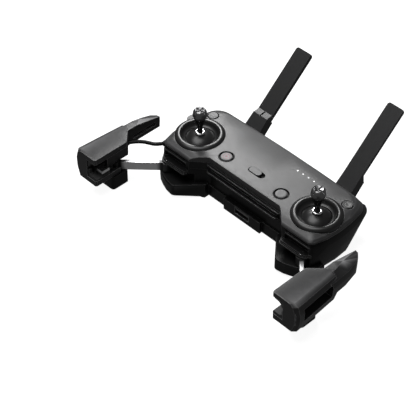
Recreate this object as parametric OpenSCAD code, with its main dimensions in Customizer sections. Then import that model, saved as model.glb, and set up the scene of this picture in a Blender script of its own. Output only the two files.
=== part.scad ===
// Folding radio transmitter: two sticks, two folding phone clamps, two hinged aerials.
// +Z is up and the flat underside lies at z = 0; +Y points to the aerials; +X to the right stick.

/* [Casing] */
// Height of the casing over the flat underside
case_h = 34; // [33:0.5:36]
// Half the distance between the outer front corners of the top panel
ear_x = 68; // [66:0.5:69]
// Y of the front edge of the two ears
ear_y = -17.4; // [-17.8:0.1:-17.2]
// Half the width of the casing where it bulges most
bulge_x = 72.4; // [72:0.2:73]
// Y of the back edge of the top panel
back_y = 33.6; // [32:0.2:35]

/* [Sticks] */
// Half the distance between the two stick centres
stick_x = 53; // [52:0.5:53.5]
// Y of the stick centres
stick_y = 3.1; // [2.5:0.1:4]
// Height of the stick pivots over the underside
pivot_z = 21.5; // [21:0.1:22]
// Radius of the dome that covers each pivot
dome_r = 14; // [13.8:0.1:14]
// Height of the top of the stick caps
stick_top = 55; // [53:0.5:58]

/* [Phone clamps] */
// Distance between an arm's two pins
arm_len = 35.85; // [35.8:0.05:35.9]
// Height of the arm's flat strip
arm_h = 6.5; // [5:0.5:6.5]
// Length of a clamp head from its front end to the tip of its finger
head_len = 64.2; // [62:0.2:64.2]

/* [Aerials] */
// Half the distance between the two aerial hinges
aerial_x = 41.6; // [41:0.2:42]
// Distance from the hinge to the tip
aerial_len = 64.9; // [55:0.5:65]
// Width of the blade
aerial_w = 12.8; // [11:0.2:13]
// Angle of the blade over the horizontal
aerial_tilt = 42; // [40:1:45]

/* [Hidden] */
$fn = 48;

// Height of the seam under the top panel, and of the seam over the lower casing
panel_seam = 29.5;
lower_seam = 9.2;
seam_gap = 0.3;
// The slot that each arm folds into, and the two ledges over it
arm_z = 11.5;
slot_z0 = 10.9;
slot_z1 = arm_z + arm_h + 0.3;
slot_back_y = -14.4;
// Pins of the right arm: on the casing and in the clamp head
arm_pin = [61.3, -19];
head_pin = arm_pin + arm_len * [0.717, -0.6974];
knuckle_x = 79.8;
pin_r = 1.4;
run = 0.05;
// The aerials' sloping back plane: how far it lies from the front edge of the underside
aerial_n = 34.7;
hub_s = 21.6;
hub_r = 6.8;
hub_t = 8;
// Parts set into the top panel
bezel_r = 16.9;
switch_len = 13.5;
switch_w = 5.4;
led_x = [16.8, 21.6, 26.4, 31.2];
led_y = 23.6;
led_r = 0.5;
small_x = 60.8;
small_y = 22.8;
small_r = 3.7;
round_x = 24.8;
// Screws and feet in the underside, right half
screw_pts = [[58, 4], [30, -4]];
foot_pts = [[50, -14], [44, 8]];
screw_head_h = 0.7;
// Underside of the front trim
trim_z = 23.2;
// Shoulder button in the back of the casing
shoulder_at = [46, 30.6, 21];
// Height of the stick caps
grip_h = 6.5;
// Inside radius of the gimbal rings
ring_r = 10.8;
// Wheel in the left flank
dial_at = [-71, 15.5, 24.7];
dial_r = 5.6;
dial_h = 4.1;
// Charge socket in the left flank: corner and size
charge_at = [-70.6, 8.2, 11.6];
charge_size = [4, 7.6, 2.7];
// Route of the phone cable, from the casing's side to the plug; its halves meet at cable_mid
cable_r = 1.3;
cable_mid = 5;
cable_pts = [
    [-71.6, -13.4, 24.2], [-72.7, -14.6, 24.0], [-73.9, -15.7, 23.7], [-75.2, -16.8, 23.5],
    [-76.6, -17.9, 23.5], [-78.0, -18.9, 23.7], [-79.5, -20.0, 24.0], [-81.0, -21.2, 24.3],
    [-82.5, -22.6, 24.5], [-84.0, -24.2, 24.6], [-85.5, -26.0, 24.6], [-87.0, -28.0, 24.5],
    [-88.5, -30.0, 24.2], [-89.8, -32.0, 23.8], [-90.7, -34.4, 23.4], [-91.0, -37.0, 23.0],
    [-91.0, -40.0, 22.8], [-91.0, -43.0, 22.6], [-91.0, -46.0, 22.4], [-90.8, -49.0, 22.2],
    [-90.0, -51.6, 22.0], [-88.6, -53.6, 22.0]];
cable_turn = atan2(1.2, 1.1);

function flip_x(p) = [for (i = [len(p) - 1:-1:0]) [-p[i][0], p[i][1]]];
function arc(c, r, a0, a1, n = 8) =
    [for (i = [0:n]) c + r * [cos(a0 + (a1 - a0) * i / n), sin(a0 + (a1 - a0) * i / n)]];

module both_sides() {
    children();
    mirror([1, 0, 0]) children();
}

// Plan of the casing at one height: front corners, bulging sides, rounded back corners
function case_plan(front_x, front_y, side_x, back_x, back_y) = let (
    half = concat(
        arc([front_x - 4, front_y + 4], 4, -90, -20, 5),
        [[side_x - 0.9, -6], [side_x, 5], [side_x - 0.6, 16]],
        arc([back_x - 11, back_y - 11], 11, 8, 86, 7),
        [[28, back_y + 0.7], [0, back_y + 1]]))
    concat(half, flip_x(half));

module case_level(z, front_x, front_y, side_x, back_x, back_y) {
    translate([0, 0, z])
        linear_extrude(0.01)
            polygon(case_plan(front_x, front_y, side_x, back_x, back_y));
}

// Y of the sloping back face at a height over the underside
function slope_y(z) = (aerial_n - 0.5 + (z - case_h) * cos(aerial_tilt)) / sin(aerial_tilt);

module upper_form() {
    hull() {
        case_level(case_h - 0.01, ear_x - 9, ear_y + 9.5, bulge_x - 11, bulge_x - 10, back_y - 2.4);
        case_level(case_h - 0.6, ear_x - 4, ear_y + 4.6, bulge_x - 6.5, bulge_x - 7.2, back_y - 0.9);
        case_level(case_h - 1.8, ear_x - 1.2, ear_y + 1.4, bulge_x - 3, bulge_x - 5, back_y);
        case_level(panel_seam + 1.2, ear_x, ear_y, bulge_x - 1.6, bulge_x - 3.6, back_y + 0.8);
        case_level(panel_seam, ear_x + 0.2, ear_y, bulge_x - 1, bulge_x - 3, back_y + 1.6);
    }
}

module mid_form() {
    hull() {
        case_level(panel_seam - seam_gap, ear_x - 0.3, ear_y + 0.5, bulge_x - 1.5, bulge_x - 3.5, back_y + 1.4);
        case_level(24.4, ear_x + 0.8, ear_y, bulge_x - 0.1, bulge_x - 3, slope_y(24.4) - 1);
        case_level(17, ear_x + 1.2, ear_y, bulge_x - 0.4, bulge_x - 3.6, slope_y(17) - 1);
        case_level(lower_seam, ear_x + 0.4, ear_y, bulge_x - 1.6, bulge_x - 5, slope_y(lower_seam) - 1);
    }
}

module lower_form() {
    hull() {
        case_level(lower_seam - 0.01, ear_x + 0.4, ear_y, bulge_x - 1.6, bulge_x - 5, slope_y(lower_seam) - 1);
        case_level(3.5, ear_x - 1.5, ear_y + 1, bulge_x - 3.6, bulge_x - 7.2, slope_y(3.5) - 1);
        case_level(0.8, ear_x - 4.5, ear_y + 3, bulge_x - 6.4, bulge_x - 10.2, slope_y(0.8) - 1);
        case_level(0, ear_x - 6.5, ear_y + 4.5, bulge_x - 8.4, bulge_x - 12, slope_y(0) - 1.4);
    }
}

// Recess between the ears, where the folded clamps lie
module ear_notch(edge_y, grow) {
    corner = [32.5 + grow, edge_y];
    mouth = [42.2 + grow, ear_y];
    polygon(concat(
        [[mouth[0] + 12, -60], mouth, corner - [-1.5, 1.4], corner - [0.8, 0]],
        flip_x([[mouth[0] + 12, -60], mouth, corner - [-1.5, 1.4], corner - [0.8, 0]])));
}

module case_hollow(z0, z1, back) {
    half = [
        [0, -5.2], [36, -5.2], [42, -12.9], [62, -12.9], [67, -7], [68.8, 3],
        [68.2, 13], [64, min(back - 2, 22)], [56, back], [0, back]];
    translate([0, 0, z0])
        linear_extrude(z1 - z0)
            polygon(concat(half, flip_x(half)));
}

module top_panel() {
    color("#3b3c3e")
    difference() {
        upper_form();
        translate([0, 0, panel_seam - 1])
            linear_extrude(case_h)
                ear_notch(-8.6, 0);
        case_hollow(panel_seam - 1, case_h - 2.4, 29.5);
        both_sides() {
            translate([stick_x, stick_y, 20])
                cylinder(h = 20, r = bezel_r + 0.1);
            translate([round_x, 0, 20])
                cylinder(h = 20, r = 5.45);
        }
        small_button_hole(-small_x);
        small_button_hole(small_x);
        translate([0, 0, 20])
            linear_extrude(20)
                slot_2d(switch_len, switch_w);
        for (x = led_x)
            translate([x, led_y, 20])
                cylinder(h = 20, r = led_r + 0.05);
    }
}

// Hole for a small button in the back corners, with a well for the flange under it
module small_button_hole(x) {
    translate([x, small_y, 20])
        cylinder(h = 20, r = small_r + 0.35);
    translate([x, small_y, 20])
        cylinder(h = case_h - 22.8, r = small_r + 0.7);
}

// Round-ended slot centred on the mode switch
module slot_2d(length, width) {
    translate([-0.2, 3.2]) {
        square([length - width, width], center = true);
        for (side = [-1, 1])
            translate([side * (length - width) / 2, 0])
                circle(d = width);
    }
}

module arm_slots() {
    both_sides()
        translate([30, -60, lower_seam - 1])
            cube([36.8, 60 + slot_back_y, slot_z1 - lower_seam + 1]);
}

// The two thin ledges over each arm slot
module ear_ledges() {
    both_sides() {
        translate([0, 0, slot_z1])
            linear_extrude(0.9)
                polygon([[42.8, ear_y + 4], [43, -20.2], [44.4, -21.5], [62, -21.5], [65, -20.6],
                    [67.6, -17], [67.6, ear_y + 4]]);
        translate([0, 0, slot_z1 + 0.85])
            linear_extrude(1.3)
                polygon([[42.8, ear_y + 4], [43, -18.6], [44.2, -20.2], [62, -20.2], [65, -19.4],
                    [67.6, -16.6], [67.6, ear_y + 4]]);
    }
}

// Two coves across the front of each ear, with a thin ridge between them
module ear_coves() {
    both_sides() {
        translate([0, 0, slot_z1 + 2.15])
            linear_extrude(4.5)
                polygon([[45, -30], [45, -17.2], [46.4, -15.4], [64, -15.4], [65.4, -17], [65.4, -30]]);
        translate([0, 0, 26.1])
            linear_extrude(2.6)
                polygon([[45, -30], [45, -17.2], [46, -16.2], [64.4, -16.2], [65.4, -17], [65.4, -30]]);
    }
}

module ear_ridges() {
    both_sides()
        translate([0, 0, 25])
            linear_extrude(1)
                polygon([[44.6, ear_y + 4], [44.8, ear_y + 0.6], [45.4, ear_y], [64.8, ear_y],
                    [66.4, ear_y + 0.4], [67, ear_y + 4]]);
}

module mid_casing() {
    color("#1d1e20")
    difference() {
        union() {
            difference() {
                mid_form();
                arm_slots();
                ear_coves();
            }
            ear_ledges();
            ear_ridges();
        }
        translate([0, 0, trim_z])
            linear_extrude(10)
                ear_notch(-9.2, 0.4);
        translate([0, 0, lower_seam - 1])
            linear_extrude(trim_z - lower_seam + 1.01)
                ear_notch(-7.3, 0.4);
        case_hollow(16, 40, 28.5);
        case_hollow(0, 16.1, 20.2);
        both_sides() {
            translate([arm_pin[0], arm_pin[1], 0])
                cylinder(h = 20.3, r = pin_r);
            aerial_frame()
                translate([0, 0, -8])
                    cylinder(h = 20, r = 2.2);
        }
        translate([dial_at[0], dial_at[1], dial_at[2] - 0.3])
            cylinder(h = 10, r = dial_r + 0.4);
        charge_room(run);
        trim_bars(run);
        both_sides()
            ear_block(0.4, lower_seam - 1, slot_z0 + 0.1);
        shoulder_cut();
        translate(cable_pts[0])
            rotate([0, 90, cable_turn])
                cylinder(h = 12, r = 1.6);
    }
}

module shoulder_cut() {
    both_sides()
        translate([shoulder_at[0] - 0.4, shoulder_at[1] - 5, shoulder_at[2] - 0.4])
            cube([16.4, 20, 6.2]);
}

// Protruding block under each ear, with its diagonal inner flank
module ear_block(inset, z0, z1) {
    half = concat(
        [[31, -9], [31 + inset, -10.4], [44.4 + inset, -25.4 + inset]],
        arc([48.6, -24.6], 3.8 - inset, -140, -85, 4),
        [[54, -27.6 + inset], [59, -25.8 + inset], [64.6, -23.1 + inset],
            [69.4 - inset, -19.6 + inset], [72.6 - inset, -14], [72.8 - inset, -9]]);
    translate([0, 0, z0])
        linear_extrude(z1 - z0)
            polygon(half);
}

module lower_casing() {
    color("#161719")
    difference() {
        union() {
            difference() {
                lower_form();
                translate([0, 0, -1])
                    linear_extrude(20)
                        ear_notch(-10.4, -1.6);
            }
            both_sides() {
                hull() {
                    ear_block(3.2, 0, 0.1);
                    ear_block(0.5, 2.6, slot_z0 - 1.2);
                    ear_block(1.3, slot_z0 - 0.1, slot_z0);
                }
            }
        }
        translate([0, 0, 2])
            case_hollow(0, 6, 11);
        case_hollow(6, 30, 17.6);
        both_sides() {
            // room for the folded clamp's foot
            translate([16.6, -30, -1])
                cube([16.2, 21.8, 13]);
            translate([arm_pin[0], arm_pin[1], 2.4])
                cylinder(h = 20, r = pin_r);
            for (p = screw_pts)
                translate([p[0], p[1], -1])
                    cylinder(h = 9.4, r = 1.6);
            for (p = screw_pts)
                translate([p[0], p[1], -1])
                    cylinder(h = 2, r = 2.9);
            for (p = foot_pts)
                translate([p[0], p[1], -1])
                    cylinder(h = 1.5, r = 4);
        }
        translate([0, 0, 5.5])
            cube([13.3, 60, 5.3], center = true);
    }
}

// Two bars across the front of the casing, joined by a web
module trim_bars(gap) {
    translate([0, 0, 27.2 - gap])
        linear_extrude(1.1 + 2 * gap)
            offset(delta = gap)
                polygon([[-33.4, -8], [33.4, -8], [33.4, -9.2], [32, -10.4], [-32, -10.4], [-33.4, -9.2]]);
    translate([0, 0, trim_z - gap])
        linear_extrude(1.2 + 2 * gap)
            offset(delta = gap)
                polygon([[-32, -8], [32, -8], [32, -10.6], [30.6, -12], [-30.6, -12], [-32, -10.6]]);
    translate([-30 - gap, -9.25, 24.3])
        cube([60 + 2 * gap, 1.4 + gap, 3]);
}

module front_trim() {
    color("#8b8d90")
        trim_bars(0);
}

module casing_screws() {
    color("#2c2d2f")
    both_sides()
        for (p = screw_pts)
            translate([p[0], p[1], 0.3]) {
                difference() {
                    cylinder(h = 7.6, r = 1.4);
                    translate([0, 0, -0.1])
                        cylinder(h = 1.1, r = 1.1, $fn = 6);
                }
                difference() {
                    cylinder(h = screw_head_h, r = 2.6);
                    translate([0, 0, -0.1])
                        cylinder(h = 2, r = 1.1, $fn = 6);
                }
            }
}

module rubber_feet() {
    color("#0c0c0d")
    both_sides()
        for (p = foot_pts)
            translate([p[0], p[1], 0])
                cylinder(h = 0.5, r = 3.8);
}

module main_board() {
    color("#1f4a33")
    difference() {
        translate([-34, -4.6, 14.2])
            cube([68, 24, 1.6]);
        for (x = [-30, 30], y = [0, 15])
            translate([x, y, 10])
                cylinder(h = 10, r = 1.3);
    }
    color("#26282a")
        for (p = [[-20, 8, 10], [4, 4, 12], [20, 12, 7]])
            translate([p[0], p[1], 15.7])
                cube([p[2], p[2], 1.4]);
}

module battery() {
    color("#4c5b78")
        translate([-33, -4.2, 8.2])
            cube([66, 20.6, 5.6]);
}

module buzzer() {
    color("#101112")
        translate([-26, 12, 15.8])
            cylinder(h = 5, r = 5);
}

module usb_a_socket() {
    color("#b9bbbd")
    difference() {
        translate([-6.55, -10.3, 2.95])
            cube([13.1, 12.5, 5.1]);
        translate([-6.05, -10.4, 3.45])
            cube([12.1, 10, 4.1]);
    }
    color("#e8e8e8")
        translate([-5.5, -9.8, 6])
            cube([11, 9.6, 1.4]);
}

// Room for the charge socket, open to the left
module charge_room(gap) {
    translate(charge_at - [2, gap, gap])
        cube(charge_size + [2 + gap, 2 * gap, 2 * gap]);
}

module charge_socket() {
    color("#9fa1a3")
    difference() {
        translate(charge_at)
            cube(charge_size);
        translate(charge_at + [-0.4, 0.5, 0.4])
            cube(charge_size - [0.4, 1, 0.8]);
    }
}

module status_lenses() {
    color("#f4f4f0")
        for (x = led_x)
            translate([x, led_y, case_h - 2.8]) {
                cylinder(h = 2.75, r = led_r);
                cylinder(h = 0.4, r = 1.3);
            }
}

// Bezel: raised lip round a bowl that funnels down to the dome
module bezel() {
    color("#17181a")
    translate([stick_x, stick_y, 0])
        rotate_extrude()
            polygon([[9.9, 31.9], [11.2, 32.5], [12, 33.4], [12.5, 34.4], [13, 35.1], [13.6, 35.5],
                [14.3, 35.6], [15, 35.45], [15.7, 35.1], [16.3, 34.6], [bezel_r, 33.9], [bezel_r, 30.4],
                [15.9, 30.4], [15.9, 28.9], [14.7, 28.9], [14.7, 32.2], [13.2, 32.6], [11.6, 31.6],
                [10.3, 31.45]]);
}

module gimbal_frame() {
    color("#303236")
    translate([stick_x, stick_y, 0])
        difference() {
            union() {
                translate([0, 0, pivot_z - 6])
                    cylinder(h = 13.2, r = 15.3);
                for (a = [45:90:315])
                    rotate(a)
                        translate([14.1, 0, 8])
                            cylinder(h = 8, r = 1.6);
            }
            translate([0, 0, pivot_z - 7])
                cylinder(h = 20, r = 14.4);
            translate([-20, 0, pivot_z])
                rotate([0, 90, 0])
                    cylinder(h = 40, r = 1.05);
        }
}

// Gimbal ring: turns in the frame about X and carries the dome's pins along Y
module gimbal_ring() {
    color("#85878a")
    translate([stick_x, stick_y, pivot_z]) {
        difference() {
            translate([0, 0, -1.6])
                cylinder(h = 3.2, r = dome_r - 1.5);
            translate([0, 0, -2])
                cylinder(h = 4, r = ring_r);
            rotate([90, 0, 0])
                cylinder(h = 40, r = 0.85, center = true);
        }
        for (side = [0, 180])
            rotate([0, 90, side])
                translate([0, 0, dome_r - 1.8])
                    cylinder(h = 2.8, r = 1);
    }
}

module dome() {
    color("#202124")
    translate([stick_x, stick_y, pivot_z]) {
        rotate_extrude()
            polygon(concat(
                arc([0, 0], dome_r, 26.5, 80, 10), arc([0, 0], dome_r - 1, 80, 26.5, 10)));
        for (side = [0, 180])
            rotate(side)
                translate([-1.8, 0.6 - ring_r, -1.8])
                    cube([3.6, 1.6, 10.4]);
        for (side = [0, 180])
            rotate([90, 0, side])
                translate([0, 0, ring_r - 0.8])
                    cylinder(h = 2.5, r = 0.8);
    }
}

module stick() {
    neck = stick_top - grip_h - pivot_z;
    color("#1a1b1d")
    translate([stick_x, stick_y, pivot_z])
        rotate_extrude()
            polygon([[0, 9], [2.1, 9], [2.1, 15.3], [1.75, 15.9], [1.7, neck - 8.5], [2.2, neck - 6.5],
                [3.2, neck - 3], [4, neck - 0.8], [4.1, neck], [1.85, neck], [1.85, neck + 1.8],
                [0, neck + 1.8]]);
}

// Polished washer round the foot of the stick
module stick_collar() {
    color("#c9cacc")
    translate([stick_x, stick_y, pivot_z])
        rotate_extrude()
            polygon([[2.2, 14], [3.3, 14], [3.5, 14.4], [3.3, 15], [2.6, 15.4], [2.2, 15.3]]);
}

// Cap with a cross cut into its crown
module stick_cap() {
    color("#6d7075")
    translate([stick_x, stick_y, stick_top - grip_h])
        difference() {
            rotate_extrude()
                polygon([[0, 0], [4.2, 0], [4.75, 1.2], [4.9, 2.6], [4.6, 4.6], [3.9, 5.9],
                    [3, grip_h], [1.2, grip_h - 0.5], [0, grip_h - 0.6]]);
            translate([0, 0, -1])
                cylinder(h = 3, r = 1.85);
            for (a = [0, 90])
                rotate(a)
                    translate([-10, -0.5, grip_h - 1.7])
                        cube([20, 1, 5]);
        }
}

module button_ring() {
    color("#0e0f10")
    translate([round_x, 0, case_h - 2.2])
        rotate_extrude()
            polygon([[4.2, 0], [5.35, 0], [5.35, 2.3], [5.15, 2.35], [4.6, 1.3], [4.2, 1.2]]);
}

module round_button() {
    color("#77797c")
    translate([round_x, 0, case_h - 4])
        rotate_extrude()
            polygon([[0, 0], [4.6, 0], [4.6, 1.2], [4.05, 1.4], [4.05, 3.9], [3.7, 4.3], [3, 4.4], [0, 4.3]]);
}

module small_button(x) {
    color("#2a2b2d")
    translate([x, small_y, case_h - 4])
        rotate_extrude()
            polygon([[0, 0], [small_r + 0.5, 0], [small_r + 0.5, 1], [small_r, 1], [small_r, 3.9],
                [small_r - 0.5, 4.3], [0, 4.1]]);
}

module mode_switch() {
    color("#46484b")
    translate([-1.4, 0, case_h - 3])
        linear_extrude(3.5)
            translate([0.2, 0])
                slot_2d(9.6, switch_w - 0.7);
    color("#46484b")
        translate([-7.4, 0.6, case_h - 3.8])
            cube([12, 5.2, 0.9]);
}

module shoulder_button() {
    color("#2b2c2e")
    translate(shoulder_at)
        linear_extrude(5.4)
            polygon([[0, 0], [15.6, 0], [15.6, 4.6], [14.4, 5.8], [1.2, 6.4], [0, 5.2]]);
}

module tilt_dial() {
    color("#2c2d30")
    translate(dial_at)
        difference() {
            cylinder(h = dial_h, r = dial_r);
            translate([0, 0, -1])
                cylinder(h = dial_h + 2, r = 1.05);
            for (a = [0:20:359])
                rotate(a)
                    translate([dial_r + 0.3, 0, -1])
                        cylinder(h = dial_h + 2, r = 0.5);
        }
}

// Arm: flat strip between two pin eyes, drawn for the right side
module arm() {
    span = head_pin - arm_pin;
    color("#8e9196")
    difference() {
        union() {
            for (p = [arm_pin, head_pin])
                translate([p[0], p[1], arm_z])
                    cylinder(h = arm_h, r = 3.5);
            translate([arm_pin[0], arm_pin[1], arm_z])
                rotate(atan2(span[1], span[0]))
                    translate([0, -1.3, 0])
                        cube([arm_len, 2.6, arm_h]);
        }
        for (p = [arm_pin, head_pin])
            translate([p[0], p[1], 0])
                cylinder(h = 40, r = pin_r + run);
    }
}

module arm_pin_rod() {
    color("#b4b6b8")
    translate([arm_pin[0], arm_pin[1], 2.5])
        cylinder(h = 17.7, r = pin_r);
}

module head_pin_rod() {
    color("#b4b6b8")
    translate([head_pin[0], head_pin[1], 1.4])
        cylinder(h = 20.4, r = pin_r);
}

// Clamp head: C-shaped jaw at the front, finger along the casing's side at the back
module head_block_level(z, inner, outer, front) {
    translate([0, 0, z])
        linear_extrude(0.01)
            polygon([[inner, front + 1], [inner + 1, front], [outer - 2.4, front], [outer, front + 2.4],
                [outer - 1.6, -40], [outer - 2.6, -27], [outer - 5, -26.4], [89.4, -28.6],
                [inner + 0.8, -36.4], [inner, -37.8]]);
}

module finger_level(z, outer, tip) {
    translate([0, 0, z])
        linear_extrude(0.01)
            polygon([[88.9, -29], [88.9, tip + 0.6], [89.6, tip], [91.4, tip], [94.6 - 0.2, tip - 3.2],
                [outer - 2.4, tip - 9], [outer - 0.8, tip - 16], [outer, -30], [outer, -33]]);
}

module head() {
    front = -65;
    tip = front + head_len;
    color("#3a3b3d")
    difference() {
        union() {
            hull() {
                head_block_level(case_h - 0.01, 80.8, 96.8, front);
                head_block_level(case_h - 1.6, 80.4, 99.8, front);
                head_block_level(26, 80.4, 101.9, front);
                head_block_level(19, 80.4, 101.6, front);
                head_block_level(11.4, 80.8, 99.4, front);
            }
            hull() {
                translate([0, 0, case_h - 0.01])
                    linear_extrude(0.01)
                        polygon([[88.9, -30], [88.9, -21], [92.4, -16], [94.2, -24], [94.4, -32]]);
                finger_level(29.6, 99, tip);
                finger_level(25.5, 100, tip);
                finger_level(17, 98, tip - 0.6);
            }
        }
        // jaw, deep at the front end and shallow over the pin
        translate([0, 0, 15.7])
            linear_extrude(14.4)
                polygon([[70, -70], [89.4, -70], [89.4, -52.8], [88.2, -51.5], [84.4, -51.5], [84.4, -30], [70, -30]]);
        // groove between the block and its outer frame
        translate([99.4, front - 1, 5])
            cube([0.5, 1.6, 23]);
        translate([99.4, front - 1, 27.5])
            cube([5, 1.6, 0.5]);
        // groove along the finger's inner side
        translate([88, -24.5, 24.4])
            cube([2, 20.5, 2.6]);
        // cable window through the outer wall
        translate([89, -58.5, 18.4])
            cube([20, 27, 10]);
        translate([91, -58.5, 18.4])
            cube([2, 27, 12]);
        // room for the arm's eye and its swing
        translate([head_pin[0], head_pin[1], 5])
            cylinder(h = slot_z1 - 5, r = 4.4);
        translate([0, 0, 5])
            linear_extrude(slot_z1 - 5)
                polygon([[head_pin[0] - 3, head_pin[1] - 3.6], [70, -31], [70, 5], [94.6, 5],
                    [94.6, -30], [head_pin[0] + 4.3, head_pin[1] + 2]]);
        // undercut that clears the ear ledges when the head is folded
        translate([80, -31, 0])
            cube([14.6, 40, 21.1]);
        translate([head_pin[0], head_pin[1], 0])
            cylinder(h = 22, r = pin_r);
    }
}

// The left head also lets the phone cable in through its neck and on through the window wall
module left_head() {
    color("#3a3b3d")
    difference() {
        mirror([1, 0, 0]) head();
        translate([-85.3, -25.8, 24.6])
            rotate([94, 0, 0])
                rotate([0, -38, 0])
                    translate([0, 0, -2])
                        cylinder(h = 16, r = 1.9);
        translate([-91.6, -61, 20.4])
            cube([2.6, 12, 3.4]);
    }
}

module knuckle() {
    color("#222325")
    difference() {
        union() {
            translate([0, 0, 0.6])
                linear_extrude(10.5)
                    polygon(concat(
                        [[knuckle_x, -38.6]],
                        arc([knuckle_x + 2.2, -49.4], 2.2, 180, 270, 4),
                        arc([91, -49.4], 2.4, 270, 360, 4),
                        arc([91, -40], 2.4, 0, 90, 4),
                        [[knuckle_x + 1, -37.6]]));
            translate([91.2, -49, 10])
                cube([1.8, 10, 1.4]);
        }
        translate([head_pin[0], head_pin[1], 1.4])
            cylinder(h = 20, r = pin_r);
    }
}

module upper_pad() {
    color("#55575a")
    translate([0, -64.2, 0])
        rotate([-90, 0, 0])
            linear_extrude(11.6)
                polygon([[82, -30.1], [87.6, -30.1], [89.4, -28.6], [89.4, -24.4], [88, -24.4],
                    [87.4, -26.6], [85.8, -28], [82, -28.6]]);
}

module lower_pad() {
    color("#55575a")
    translate([0, -64.2, 0])
        rotate([-90, 0, 0])
            linear_extrude(11.6)
                polygon([[80.9, -15.7], [80.9, -16.9], [81.6, -17.4], [86.8, -17.4], [88, -18.6],
                    [88, -21.6], [89.4, -21.6], [89.4, -15.7]]);
}

// The left head's lower pad is cut away behind, where the plug sits
module left_lower_pad() {
    color("#55575a")
    difference() {
        mirror([1, 0, 0])
            lower_pad();
        translate([-92, -61.8, 18])
            cube([6.4, 12, 5]);
    }
}

// Local frame of the right aerial: X across the blade, Y along it, Z from its face into the casing
module aerial_frame() {
    translate([aerial_x, 0, case_h])
        rotate([aerial_tilt, 0, 0])
            translate([0, hub_s, -aerial_n])
                children();
}

// Both aerials share the hub; the left blade lies a step further back, so the two fold in layers
module aerial(face, thick) {
    half = aerial_w / 2;
    color("#303133")
    difference() {
        union() {
            translate([0, 0, -hub_t])
                cylinder(h = hub_t, r = hub_r);
            translate([0, 0, -hub_t])
                linear_extrude(hub_t)
                    polygon([[-hub_r, 0], [hub_r, 0], [half, 11], [half, 12.4], [-half, 12.4], [-half, 11]]);
            translate([0, 0, -face - thick])
                linear_extrude(thick)
                    polygon(concat(
                        [[-half, 11], [half, 11]],
                        arc([half - 2, aerial_len - 2], 2, 0, 90, 5),
                        arc([-half + 2, aerial_len - 2], 2, 90, 180, 5)));
            translate([0, 12.3, -face - thick])
                rotate([90, 0, 90])
                    translate([0, 0, -half + 0.3])
                        linear_extrude(aerial_w - 0.6)
                            polygon(face > 1
                                ? [[-1, 0], [3.9, 0], [3.9, thick], [-0.1, face + thick], [-1, face + thick]]
                                : [[-1, thick], [3.9, thick], [3.9, 0], [-0.1, thick + face - hub_t],
                                    [-1, thick + face - hub_t]]);
        }
        translate([0, 0, -hub_t + 1.6])
            cylinder(h = 20, r = 1.6 + run);
        // gap that splits the step of the lower blade into two facets
        if (face > 1)
            translate([0, 0, -face + 0.2])
                linear_extrude(face)
                    polygon([[-0.7, 16.5], [-0.4, 11.8], [0.4, 11.8], [0.7, 16.5]]);
    }
}

module aerial_pin() {
    color("#a9abad")
    aerial_frame()
        translate([0, 0, -hub_t + 1.9])
            union() {
                cylinder(h = hub_t + 2, r = 1.6);
                translate([0, 0, hub_t - 1.6])
                    cylinder(h = 5, r = 2.2);
            }
}

function unit(v) = v / norm(v);
// Direction of the route at a point, from its neighbours
function run_at(p, i) = unit(p[min(i + 1, len(p) - 1)] - p[max(i - 1, 0)]);
function ring_at(p, i, r, n) = let (
    d = run_at(p, i),
    side = unit(cross(d, [0, 0, 1])),
    up = cross(side, d))
    [for (k = [0:n - 1]) p[i] + r * (cos(360 * k / n) * side + sin(360 * k / n) * up)];

// Stretch of the cable between two points of its route
module lead(p, first, last, r, n = 8) {
    rings = last - first + 1;
    points = [for (i = [first:last]) each ring_at(p, i, r, n)];
    skin = [for (i = [0:rings - 2], k = [0:n - 1])
        [i * n + k, i * n + (k + 1) % n, (i + 1) * n + (k + 1) % n, (i + 1) * n + k]];
    caps = [[for (k = [n - 1:-1:0]) k], [for (k = [0:n - 1]) (rings - 1) * n + k]];
    polyhedron(points, concat(skin, caps));
}

// Grommet that holds the cable where it leaves the casing
module cable_grommet() {
    color("#131314")
    translate(cable_pts[0])
        rotate([0, 90, cable_turn])
            rotate_extrude()
                polygon([[0, 0], [1.7, 0], [2.3, 1.2], [2.3, 1.9], [1.6, 2.1], [1.6, 4.6], [0, 4.6]]);
}

module cable_body_half() {
    color("#101011")
        lead(cable_pts, 0, cable_mid, cable_r);
}

module cable_head_half() {
    color("#101011")
        lead(cable_pts, cable_mid, len(cable_pts) - 1, cable_r);
}

module phone_plug() {
    color("#141415")
        translate([-89.2, -61.2, 20])
            cube([4.6, 7.6, 4]);
}

module plug_shell() {
    color("#c3c5c8")
        translate([-84.6, -60.6, 21])
            cube([5.4, 6.4, 2]);
}

top_panel();
mid_casing();
lower_casing();
front_trim();
casing_screws();
rubber_feet();
main_board();
battery();
buzzer();
usb_a_socket();
charge_socket();
status_lenses();
mirror([1, 0, 0]) bezel();  // left_bezel
bezel();  // right_bezel
mirror([1, 0, 0]) gimbal_frame();  // left_gimbal_frame
gimbal_frame();  // right_gimbal_frame
mirror([1, 0, 0]) gimbal_ring();  // left_gimbal_ring
gimbal_ring();  // right_gimbal_ring
mirror([1, 0, 0]) dome();  // left_dome
dome();  // right_dome
mirror([1, 0, 0]) stick();  // left_stick
stick();  // right_stick
mirror([1, 0, 0]) stick_collar();  // left_stick_collar
stick_collar();  // right_stick_collar
mirror([1, 0, 0]) stick_cap();  // left_stick_cap
stick_cap();  // right_stick_cap
mirror([1, 0, 0]) round_button();  // left_round_button
round_button();  // right_round_button
mirror([1, 0, 0]) button_ring();  // left_button_ring
button_ring();  // right_button_ring
small_button(-small_x);  // function_button
small_button(small_x);  // power_button
mode_switch();
mirror([1, 0, 0]) shoulder_button();  // left_shoulder_button
shoulder_button();  // right_shoulder_button
tilt_dial();
mirror([1, 0, 0]) arm();  // left_arm
arm();  // right_arm
mirror([1, 0, 0]) arm_pin_rod();  // left_arm_pin
arm_pin_rod();  // right_arm_pin
left_head();
head();  // right_head
mirror([1, 0, 0]) knuckle();  // left_knuckle
knuckle();  // right_knuckle
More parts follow.
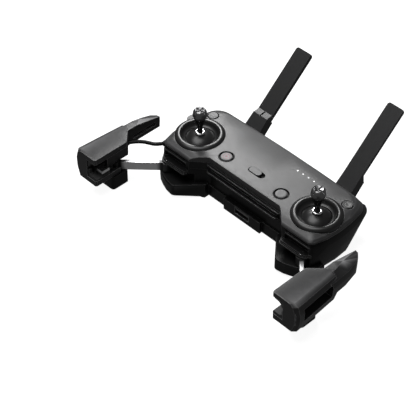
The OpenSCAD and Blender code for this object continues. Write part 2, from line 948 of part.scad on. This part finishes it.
mirror([1, 0, 0]) head_pin_rod();  // left_head_pin
head_pin_rod();  // right_head_pin
mirror([1, 0, 0]) upper_pad();  // left_upper_pad
upper_pad();  // right_upper_pad
left_lower_pad();
lower_pad();  // right_lower_pad
mirror([1, 0, 0]) aerial_frame() aerial(2.9, 3.3);  // left_aerial
aerial_frame() aerial(0, 2.6);  // right_aerial
mirror([1, 0, 0]) aerial_pin();  // left_aerial_pin
aerial_pin();  // right_aerial_pin
cable_grommet();
cable_body_half();
cable_head_half();
phone_plug();
plug_shell();
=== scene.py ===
import math

import bmesh
import bpy
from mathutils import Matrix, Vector
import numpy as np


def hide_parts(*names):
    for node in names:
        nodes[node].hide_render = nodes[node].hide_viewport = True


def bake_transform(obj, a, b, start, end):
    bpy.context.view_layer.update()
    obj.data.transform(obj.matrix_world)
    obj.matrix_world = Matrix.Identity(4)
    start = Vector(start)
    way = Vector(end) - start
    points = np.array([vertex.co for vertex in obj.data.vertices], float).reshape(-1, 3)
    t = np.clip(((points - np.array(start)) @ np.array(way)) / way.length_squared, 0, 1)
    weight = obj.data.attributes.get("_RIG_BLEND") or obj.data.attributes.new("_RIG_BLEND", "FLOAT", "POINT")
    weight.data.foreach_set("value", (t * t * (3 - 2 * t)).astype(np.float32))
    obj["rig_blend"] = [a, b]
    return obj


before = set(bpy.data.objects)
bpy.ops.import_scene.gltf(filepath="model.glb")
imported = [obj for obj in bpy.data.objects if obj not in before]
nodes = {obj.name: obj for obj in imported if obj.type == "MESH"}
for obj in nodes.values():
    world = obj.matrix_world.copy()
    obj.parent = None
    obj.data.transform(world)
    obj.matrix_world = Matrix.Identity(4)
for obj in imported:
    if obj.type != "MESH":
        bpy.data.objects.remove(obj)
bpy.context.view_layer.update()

# ---- Camera ------------------------------------------------------------------------------------
# Looks down on the transmitter from its front right corner, 43 degrees over the table.
eye = bpy.data.objects.new("camera", bpy.data.cameras.new("camera"))
bpy.context.collection.objects.link(eye)
eye.data.lens = 130.97
eye.data.sensor_width = 36
eye.location = (0.50688, -0.52691, 0.69068)
looks_along = Vector((-0.52453, 0.50512, -0.68537))
eye.rotation_euler = looks_along.to_track_quat("-Z", "Y").to_euler()
bpy.context.scene.camera = eye


# ---- Phone cable -------------------------------------------------------------------------------
# A short black rubber lead. It leaves a grommet in the casing's left front corner, enters the
# neck of the left clamp head and ends in a moulded plug. Both ends are held, so it has no coil.
class Wire:
    """One output in a material's nodes. Arithmetic on it adds Math nodes, node() adds any other."""

    def __init__(self, tree, socket=None):
        self.tree = tree
        self.socket = socket

    def node(self, kind, settings=None, inputs=None, output=0):
        made = self.tree.nodes.new("ShaderNode" + kind)
        for name, value in (settings or {}).items():
            setattr(made, name, value)
        for name, value in (inputs or {}).items():
            if isinstance(value, Wire):
                self.tree.links.new(value.socket, made.inputs[name])
            else:
                made.inputs[name].default_value = value
        return Wire(self.tree, made.outputs[output])

    def math(self, operation, first, second=0.0):
        return self.node("Math", {"operation": operation}, {0: first, 1: second})

    def __add__(self, other):
        return self.math("ADD", self, other)

    __radd__ = __add__

    def __sub__(self, other):
        return self.math("SUBTRACT", self, other)

    def __rsub__(self, other):
        return self.math("SUBTRACT", other, self)

    def __mul__(self, other):
        return self.math("MULTIPLY", self, other)

    __rmul__ = __mul__

    def clamped(self):
        return self.node("Clamp", {}, {"Value": self, "Min": 0.0, "Max": 1.0})

    def noise(self, place, size, detail=2.0):
        """Grey cloud whose blots are about size metres across."""
        return self.node("TexNoise", {}, {"Vector": place, "Scale": 1 / size, "Detail": detail})

    def blend(self, mask, first, second):
        """Colour that goes from first to second as mask goes from 0 to 1."""
        return self.node("Mix", {"data_type": "RGBA"}, {0: mask, 6: first, 7: second}, output=2)


def rgba(grey, tint=(1, 1, 1)):
    return (grey * tint[0], grey * tint[1], grey * tint[2], 1)


class Finish:
    """A material under construction: its Principled shader and the wires that feed it."""

    def __init__(self, name):
        self.material = bpy.data.materials.new(name)
        self.material.use_nodes = True
        tree = self.material.node_tree
        self.shader = tree.nodes["Principled BSDF"]
        self.wire = Wire(tree)
        self.place = self.wire.node("TexCoord", output=3)

    def feed(self, **sockets):
        for name, value in sockets.items():
            plug = self.shader.inputs[name.replace("_", " ").title().replace("Ior", "IOR")]
            if isinstance(value, Wire):
                self.wire.tree.links.new(value.socket, plug)
            else:
                plug.default_value = value

    def edges(self, radius):
        """Rounded shading normal, and a mask that is 1 along the rounded edges."""
        rounded = self.wire.node("Bevel", {"samples": 6}, {"Radius": radius})
        flat = self.wire.node("NewGeometry", output="True Normal")
        facing = self.wire.node(
            "VectorMath", {"operation": "DOT_PRODUCT"}, {0: rounded, 1: flat}, output="Value")
        edge_gain = 6
        return rounded, ((1 - facing) * edge_gain).clamped()

    def bump(self, height, depth, normal=None):
        inputs = {"Height": height, "Distance": depth, "Strength": 1.0}
        if normal:
            inputs["Normal"] = normal
        return self.wire.node("Bump", {}, inputs)


def rubber(name, grey, roughness):
    made = Finish(name)
    cloud = made.wire.noise(made.place, 0.004)
    dust = made.wire.noise(made.place, 0.0004, 3.0)
    made.feed(
        base_color=made.wire.blend(cloud, rgba(grey * 0.8), rgba(grey * 1.35)),
        roughness=roughness + 0.12 * (cloud - 0.5),
        normal=made.bump(dust, 0.00004),
        specular_ior_level=0.25)
    return made.material


def smooth_tube(name, points, radius, sides=16):
    """Round lead whose rings stand square to the line through the points."""
    skin = bmesh.new()
    rings = []
    for i, point in enumerate(points):
        along = (points[min(i + 1, len(points) - 1)] - points[max(i - 1, 0)]).normalized()
        across = along.cross(Vector((0, 0, 1))).normalized()
        up = across.cross(along)
        turns = [2 * math.pi * k / sides for k in range(sides)]
        rings.append([
            skin.verts.new(point + radius * (math.cos(turn) * across + math.sin(turn) * up))
            for turn in turns])
    for ring, following in zip(rings, rings[1:]):
        for k in range(sides):
            skin.faces.new((ring[k], following[k], following[k - 1], ring[k - 1])).smooth = True
    skin.faces.new(rings[0])
    skin.faces.new(rings[-1][::-1])
    bmesh.ops.recalc_face_normals(skin, faces=skin.faces)
    mesh = bpy.data.meshes.new(name)
    skin.to_mesh(mesh)
    skin.free()
    lead = bpy.data.objects.new(name, mesh)
    bpy.context.collection.objects.link(lead)
    return lead


def through(points, steps=4):
    """Points of the smooth curve that runs through the given ones, in metres from millimetres."""
    spots = [Vector(p) / 1000 for p in points]
    ends = [spots[0] * 2 - spots[1]] + spots + [spots[-1] * 2 - spots[-2]]
    curve = []
    for i in range(len(spots) - 1):
        before, here, there, after = ends[i:i + 4]
        for k in range(steps):
            t = k / steps
            curve.append(0.5 * (2 * here + (there - before) * t
                                + (2 * before - 5 * here + 4 * there - after) * t * t
                                + (3 * here - before - 3 * there + after) * t ** 3))
    return curve + [spots[-1]]


cable_rubber = rubber("cable_rubber", 0.004, 0.5)
cable_radius = 0.0013
cable_route = [
    (-71.6, -13.4, 24.2), (-72.7, -14.6, 24.0), (-73.9, -15.7, 23.7), (-75.2, -16.8, 23.5),
    (-76.6, -17.9, 23.5), (-78.0, -18.9, 23.7), (-79.5, -20.0, 24.0), (-81.0, -21.2, 24.3),
    (-82.5, -22.6, 24.5), (-84.0, -24.2, 24.6), (-85.5, -26.0, 24.6), (-87.0, -28.0, 24.5),
    (-88.5, -30.0, 24.2), (-89.8, -32.0, 23.8), (-90.7, -34.4, 23.4), (-91.0, -37.0, 23.0),
    (-91.0, -40.0, 22.8), (-91.0, -43.0, 22.6), (-91.0, -46.0, 22.4), (-90.8, -49.0, 22.2),
    (-90.0, -51.6, 22.0), (-88.6, -53.6, 22.0)]
cable_mid = 5
cable_in_neck = 14
body_run = cable_route[:cable_mid + 1]
head_run = cable_route[cable_mid:]
for name, run, near, far, last_bend in (
        ("cable_body_half", body_run, "root", "left_arm", cable_route[cable_mid]),
        ("cable_head_half", head_run, "left_arm", "left_head", cable_route[cable_in_neck])):
    lead = smooth_tube(name + "_lead", through(run), cable_radius)
    lead.data.materials.append(cable_rubber)
    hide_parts(name)
    start = Vector(run[0]) / 1000
    end = Vector(last_bend) / 1000
    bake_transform(lead, near, far, start=start, end=end)

# ---- Table and lights --------------------------------------------------------------------------
# A back-lit white table, a small soft light from the left and behind, a wide one overhead and
# weak fill all round. The table throws no light back on the object, so its sides stay dark.
table = bpy.data.meshes.new("table")
table_half = 3.0
corners = ((-1, -1), (1, -1), (1, 1), (-1, 1))
table.from_pydata([(x * table_half, y * table_half, 0) for x, y in corners], [], [(0, 1, 2, 3)])
table_top = bpy.data.objects.new("table", table)
bpy.context.collection.objects.link(table_top)
pale = Finish("table_paint")
pale_cloud = pale.wire.noise(pale.place, 0.4)
pale.feed(
    base_color=pale.wire.blend(pale_cloud, rgba(0.3), rgba(0.34)),
    roughness=0.9,
    specular_ior_level=0.0,
    emission_color=pale.wire.blend(pale_cloud, rgba(0.9), rgba(0.94)),
    emission_strength=1.0)
table.materials.append(pale.material)
table_top.visible_diffuse = False
table_top.visible_glossy = False

room = bpy.data.worlds.new("room")
room.use_nodes = True
room.node_tree.nodes["Background"].inputs["Color"].default_value = (1, 1, 1, 1)
room.node_tree.nodes["Background"].inputs["Strength"].default_value = 0.14
bpy.context.scene.world = room
bpy.context.scene.view_settings.view_transform = "Standard"


def soft_light(name, place, towards, size, power):
    lamp = bpy.data.objects.new(name, bpy.data.lights.new(name, "AREA"))
    bpy.context.collection.objects.link(lamp)
    lamp.data.shape = "DISK"
    lamp.data.size = size
    lamp.data.energy = power
    lamp.location = place
    lamp.rotation_euler = (Vector(towards) - Vector(place)).to_track_quat("-Z", "Y").to_euler()


soft_light("left_softbox", (-0.33, 0.27, 0.40), (-0.05, 0, 0.03), 0.20, 2.1)
soft_light("overhead", (-0.25, -0.2, 1.35), (0, 0, 0), 1.1, 13.0)


# ---- Top panel ---------------------------------------------------------------------------------
# The matt grey lid, moulded in one piece with a soft-touch paint; its edges are painted lighter as a
# highlight.
def soften(node, angle=32):
    """Shades a CAD node as one smooth skin up to the given edge angle; its points stay as they are."""
    made = nodes[node]
    marks = made.data.attributes
    if "custom_normal" in marks:
        marks.remove(marks["custom_normal"])
    made.data.polygons.foreach_set("use_smooth", [True] * len(made.data.polygons))
    weld = made.modifiers.new("weld", "WELD")
    weld.merge_threshold = 0.000005
    split = made.modifiers.new("split", "EDGE_SPLIT")
    split.split_angle = math.radians(angle)
    return made


def dress(material, *names, angle=32):
    for name in names:
        made = soften(name, angle)
        for slot in made.material_slots:
            slot.material = material


def moulded(name, grey, roughness, edge_highlight_grey, tint=(1, 1, 1.02), gloss=0.5, mark=None):
    """Injection-moulded plastic: fine spark-eroded grain, faint clouding, and edges painted lighter as a
    highlight.

    mark is the shape of a printed mark, as a function of the finish, with the ink's colour.
    """
    made = Finish(name)
    rounded, edge = made.edges(0.0004)
    cloud = made.wire.noise(made.place, 0.018, 3.0)
    pores = made.wire.noise(made.place, 0.00035, 2.0)
    scuffs = made.wire.noise(made.place, 0.003, 5.0)
    body = made.wire.blend(cloud, rgba(grey * 0.93, tint), rgba(grey * 1.07, tint))
    # Painted highlight: the edges are lightened towards the given edge grey, broken up by the scuff noise.
    painted_edge_highlight = edge * (0.55 + 0.6 * scuffs)
    if mark:
        shape, ink = mark
        body = made.wire.blend(shape(made), body, ink)
    made.feed(
        base_color=made.wire.blend(painted_edge_highlight.clamped(), body, rgba(edge_highlight_grey, tint)),
        roughness=roughness + 0.10 * (scuffs - 0.5) + 0.05 * (pores - 0.5),
        normal=made.bump(pores, 0.00002, rounded),
        specular_ior_level=gloss)
    return made.material


dress(moulded("panel_paint", 0.03, 0.42, 0.35), "top_panel", angle=28)

# ---- Casing ------------------------------------------------------------------------------------
# Two black shells screwed together from below, with the shoulder buttons in the back of the
# upper one.
dress(moulded("casing_black", 0.004, 0.38, 0.12, gloss=0.25), "mid_casing", "lower_casing", angle=28)
dress(
    moulded("shoulder_black", 0.005, 0.34, 0.08, gloss=0.25),
    "left_shoulder_button", "right_shoulder_button")


# ---- Front trim, screws and feet ---------------------------------------------------------------
# Two satin metal rails lie in the front recess; black screws and rubber feet are underneath.
def metal(name, grey, roughness, grain_size, squeeze=(1, 1, 1), edge_highlight_gain=1.6, unshaded=None):
    """Machined or pressed metal, whose fine tool marks are long along an axis squeezed below 1.

    The last argument says where the metal is left unshaded, as a function of the finish; elsewhere painted
    shade darkens it to black.
    """
    tint = (1, 1, 1.01)
    made = Finish(name)
    rounded, edge = made.edges(0.0003)
    drawn = made.wire.node("Mapping", {}, {"Vector": made.place, "Scale": squeeze})
    marks = made.wire.noise(drawn, grain_size, 4.0)
    stain = made.wire.noise(made.place, 0.006, 2.0)
    body = made.wire.blend(stain, rgba(grey * 0.9, tint), rgba(grey * 1.1, tint))
    # Painted highlight: the edges are lightened well above the body grey.
    skin = made.wire.blend((edge * 0.6).clamped(), body, rgba(min(1, grey * edge_highlight_gain), tint))
    unshaded_mask = unshaded(made) if unshaded else 1.0
    # Painted shade: away from the given part the metal turns near black and loses its metal look.
    if unshaded:
        painted_shade = rgba(0.006)
        skin = made.wire.blend(unshaded_mask, painted_shade, skin)
    made.feed(
        base_color=skin,
        metallic=unshaded_mask,
        roughness=roughness + 0.14 * (marks - 0.5),
        normal=made.bump(marks, 0.000012, rounded))
    return made.material


dress(metal("trim_satin", 0.05, 0.34, 0.0006, (0.05, 1, 1), edge_highlight_gain=12), "front_trim")
dress(metal("screw_black_oxide", 0.05, 0.4, 0.0005), "casing_screws")
dress(rubber("foot_rubber", 0.03, 0.7), "rubber_feet")

# ---- Insides -----------------------------------------------------------------------------------
# Circuit board, wrapped battery, buzzer, the gimbals' moulded frames and cast rings, seen only
# through gaps, and the two plated sockets that show in the walls.
board = Finish("solder_mask")
board_weave = board.wire.noise(board.place, 0.0012, 2.0)
tracks = board.wire.node("TexBrick", {}, {
    "Vector": board.place, "Scale": 220.0, "Color1": (0.01, 0.07, 0.03, 1), "Color2": (0.015, 0.1, 0.045, 1),
    "Mortar": (0.03, 0.2, 0.09, 1), "Mortar Size": 0.03})
board.feed(
    base_color=tracks,
    roughness=0.25 + 0.2 * board_weave,
    normal=board.bump(board_weave, 0.00002))
dress(board.material, "main_board")
dress(moulded("battery_wrap", 0.14, 0.3, 0.2, tint=(0.7, 0.9, 1.6)), "battery")
dress(moulded("inner_black", 0.03, 0.5, 0.05), "buzzer", "left_gimbal_frame", "right_gimbal_frame")
dress(metal("cast_grey", 0.3, 0.45, 0.0008), "left_gimbal_ring", "right_gimbal_ring")
dress(metal("socket_nickel", 0.2, 0.3, 0.0006), "usb_a_socket", "charge_socket")

# ---- Status lenses -----------------------------------------------------------------------------
# Four translucent light guides glued flush into the lid, lit white from the board under them.
lens = Finish("lens_white")
lens_glow = lens.wire.noise(lens.place, 0.0008, 1.0)
lens.feed(
    base_color=lens.wire.blend(lens_glow, rgba(0.8), rgba(0.95)),
    roughness=0.25 + 0.1 * lens_glow,
    emission_color=lens.wire.blend(lens_glow, rgba(0.8), rgba(1.0)),
    emission_strength=0.5,
    coat_weight=0.4)
dress(lens.material, "status_lenses")


# ---- Stick wells -------------------------------------------------------------------------------
# Each well is a black moulded ring with a rounded lip, set into the lid; the dome turns under it.
def gloss(name, grey, roughness, coat=0.0, rim=0.0003):
    """Smooth black plastic with faint hairline swirls and edges painted lighter as a highlight."""
    made = Finish(name)
    rounded, edge = made.edges(rim)
    hair = made.wire.noise(made.place, 0.0009, 5.0)
    smear = made.wire.noise(made.place, 0.012, 2.0)
    # Painted highlight: the edges are lightened to 1.6 times the grey.
    made.feed(
        base_color=made.wire.blend((edge * 0.5).clamped(), rgba(grey), rgba(grey * 1.6)),
        roughness=roughness + 0.12 * (smear - 0.5),
        normal=made.bump(hair, 0.000006, rounded),
        coat_weight=coat)
    return made.material


dress(gloss("well_gloss", 0.007, 0.36, coat=0.05, rim=0.0001), "left_bezel", "right_bezel", angle=24)
dress(gloss("button_ring_gloss", 0.001, 0.4), "left_button_ring", "right_button_ring")
dress(gloss("dome_satin", 0.008, 0.32), "left_dome", "right_dome", angle=24)

# ---- Sticks and caps ---------------------------------------------------------------------------
# Black turned stems fixed in the domes, with a polished washer at the foot and a gunmetal cap
# pushed on, whose crown has a cross cut into it.
dress(moulded("stick_black", 0.004, 0.38, 0.012, gloss=0.3), "left_stick", "right_stick", angle=24)
dress(metal("collar_chrome", 0.85, 0.1, 0.0008), "left_stick_collar", "right_stick_collar", angle=50)
dress(metal("cap_gunmetal", 0.22, 0.28, 0.0006), "left_stick_cap", "right_stick_cap")

# ---- Buttons, switch and dial ------------------------------------------------------------------
# Satin plastic caps that stand a little proud of the lid, three of them with a printed mark, and
# the wheel in the left flank.
def around(place, x, y):
    """Place in the plan, measured from a point: across, along and straight out."""
    plan = place.node("Mapping", {}, {"Vector": place, "Location": (-x, -y, 0), "Scale": (1, 1, 0)})
    across = place.node("SeparateXYZ", {}, {0: plan}, output=0)
    along = place.node("SeparateXYZ", {}, {0: plan}, output=1)
    out = place.node("VectorMath", {"operation": "LENGTH"}, {0: plan}, output="Value")
    return across, along, out


def stroke(distance, middle, width):
    """1 where distance lies within a printed line's width, 0 beyond it."""
    off = distance.math("ABSOLUTE", distance - middle)
    ink_sharpness = 9000
    return ((width / 2 - off) * ink_sharpness).clamped()


def ring_and_dot(made):
    out = around(made.place, -round_button_x, 0)[2]
    return (stroke(out, 0.0023, 0.0006) + stroke(out, 0.0, 0.0018)).clamped()


def power_sign(made):
    across, along, out = around(made.place, small_button_x, small_button_y)
    bar = stroke(across, 0.0, 0.0004) * stroke(along, 0.0012, 0.0016)
    gap = stroke(across, 0.0, 0.0011) * stroke(along, 0.002, 0.0026)
    return (stroke(out, 0.0016, 0.0005) * (1 - gap) + bar).clamped()


def short_line(made):
    across, along, _ = around(made.place, -small_button_x, small_button_y)
    return (stroke(across, 0.0, 0.0028) * stroke(along, 0.0, 0.0005)).clamped()


round_button_x = 0.0248
small_button_x = 0.0608
small_button_y = 0.0228
pink_ink = (0.16, 0.03, 0.045, 1)
dress(
    moulded("button_home", 0.12, 0.45, 0.2, mark=(ring_and_dot, pink_ink)),
    "left_round_button", angle=24)
dress(moulded("button_grey", 0.08, 0.45, 0.2), "right_round_button", angle=24)
dress(moulded("button_power", 0.02, 0.42, 0.12, mark=(power_sign, rgba(0.2))), "power_button")
dress(moulded("button_function", 0.02, 0.42, 0.12, mark=(short_line, rgba(0.09))), "function_button")
dress(moulded("control_grey", 0.03, 0.42, 0.15), "mode_switch")
dress(moulded("dial_black", 0.01, 0.42, 0.08), "tilt_dial")

# ---- Phone clamps ------------------------------------------------------------------------------
# Die-cast arms swing on steel pins and carry moulded heads whose jaws are lined with rubber. Painted
# shade darkens each arm to black but for its middle.
def arm_unshaded_middles(made):
    """1 on the middle of either arm, 0 at its eyes, which take painted shade; left counts as right, and
    front as back.
    """
    quarter = made.wire.node("VectorMath", {"operation": "ABSOLUTE"}, {0: made.place})
    from_middle = around(quarter, arm_middle_x, arm_middle_y)[2]
    shade_sharpness = 350
    return 1 - ((from_middle - lit_radius) * shade_sharpness).clamped()


arm_middle_x = 0.0741
arm_middle_y = 0.0315
lit_radius = 0.0105
dress(
    metal("arm_satin", 0.75, 0.4, 0.0007, (0.08, 0.08, 1), unshaded=arm_unshaded_middles),
    "left_arm", "right_arm")
dress(metal("pin_steel", 0.5, 0.25, 0.0005), *[n for n in nodes if n.endswith("_pin")])
dress(moulded("head_grey", 0.022, 0.42, 0.5, gloss=0.35), "left_head", "right_head", angle=28)
dress(moulded("knuckle_black", 0.004, 0.42, 0.06, gloss=0.2), "left_knuckle", "right_knuckle")
dress(rubber("jaw_rubber", 0.05, 0.6), *[n for n in nodes if n.endswith("_pad")])
dress(cable_rubber, "cable_grommet", "phone_plug")
dress(metal("plug_nickel", 0.75, 0.22, 0.0006), "plug_shell")

# ---- Aerials -----------------------------------------------------------------------------------
# Flat moulded paddles on hinge pins in the sloping back; they fold over each other in two layers.
dress(moulded("aerial_grey", 0.02, 0.4, 0.14, gloss=0.3), "left_aerial", "right_aerial", angle=28)
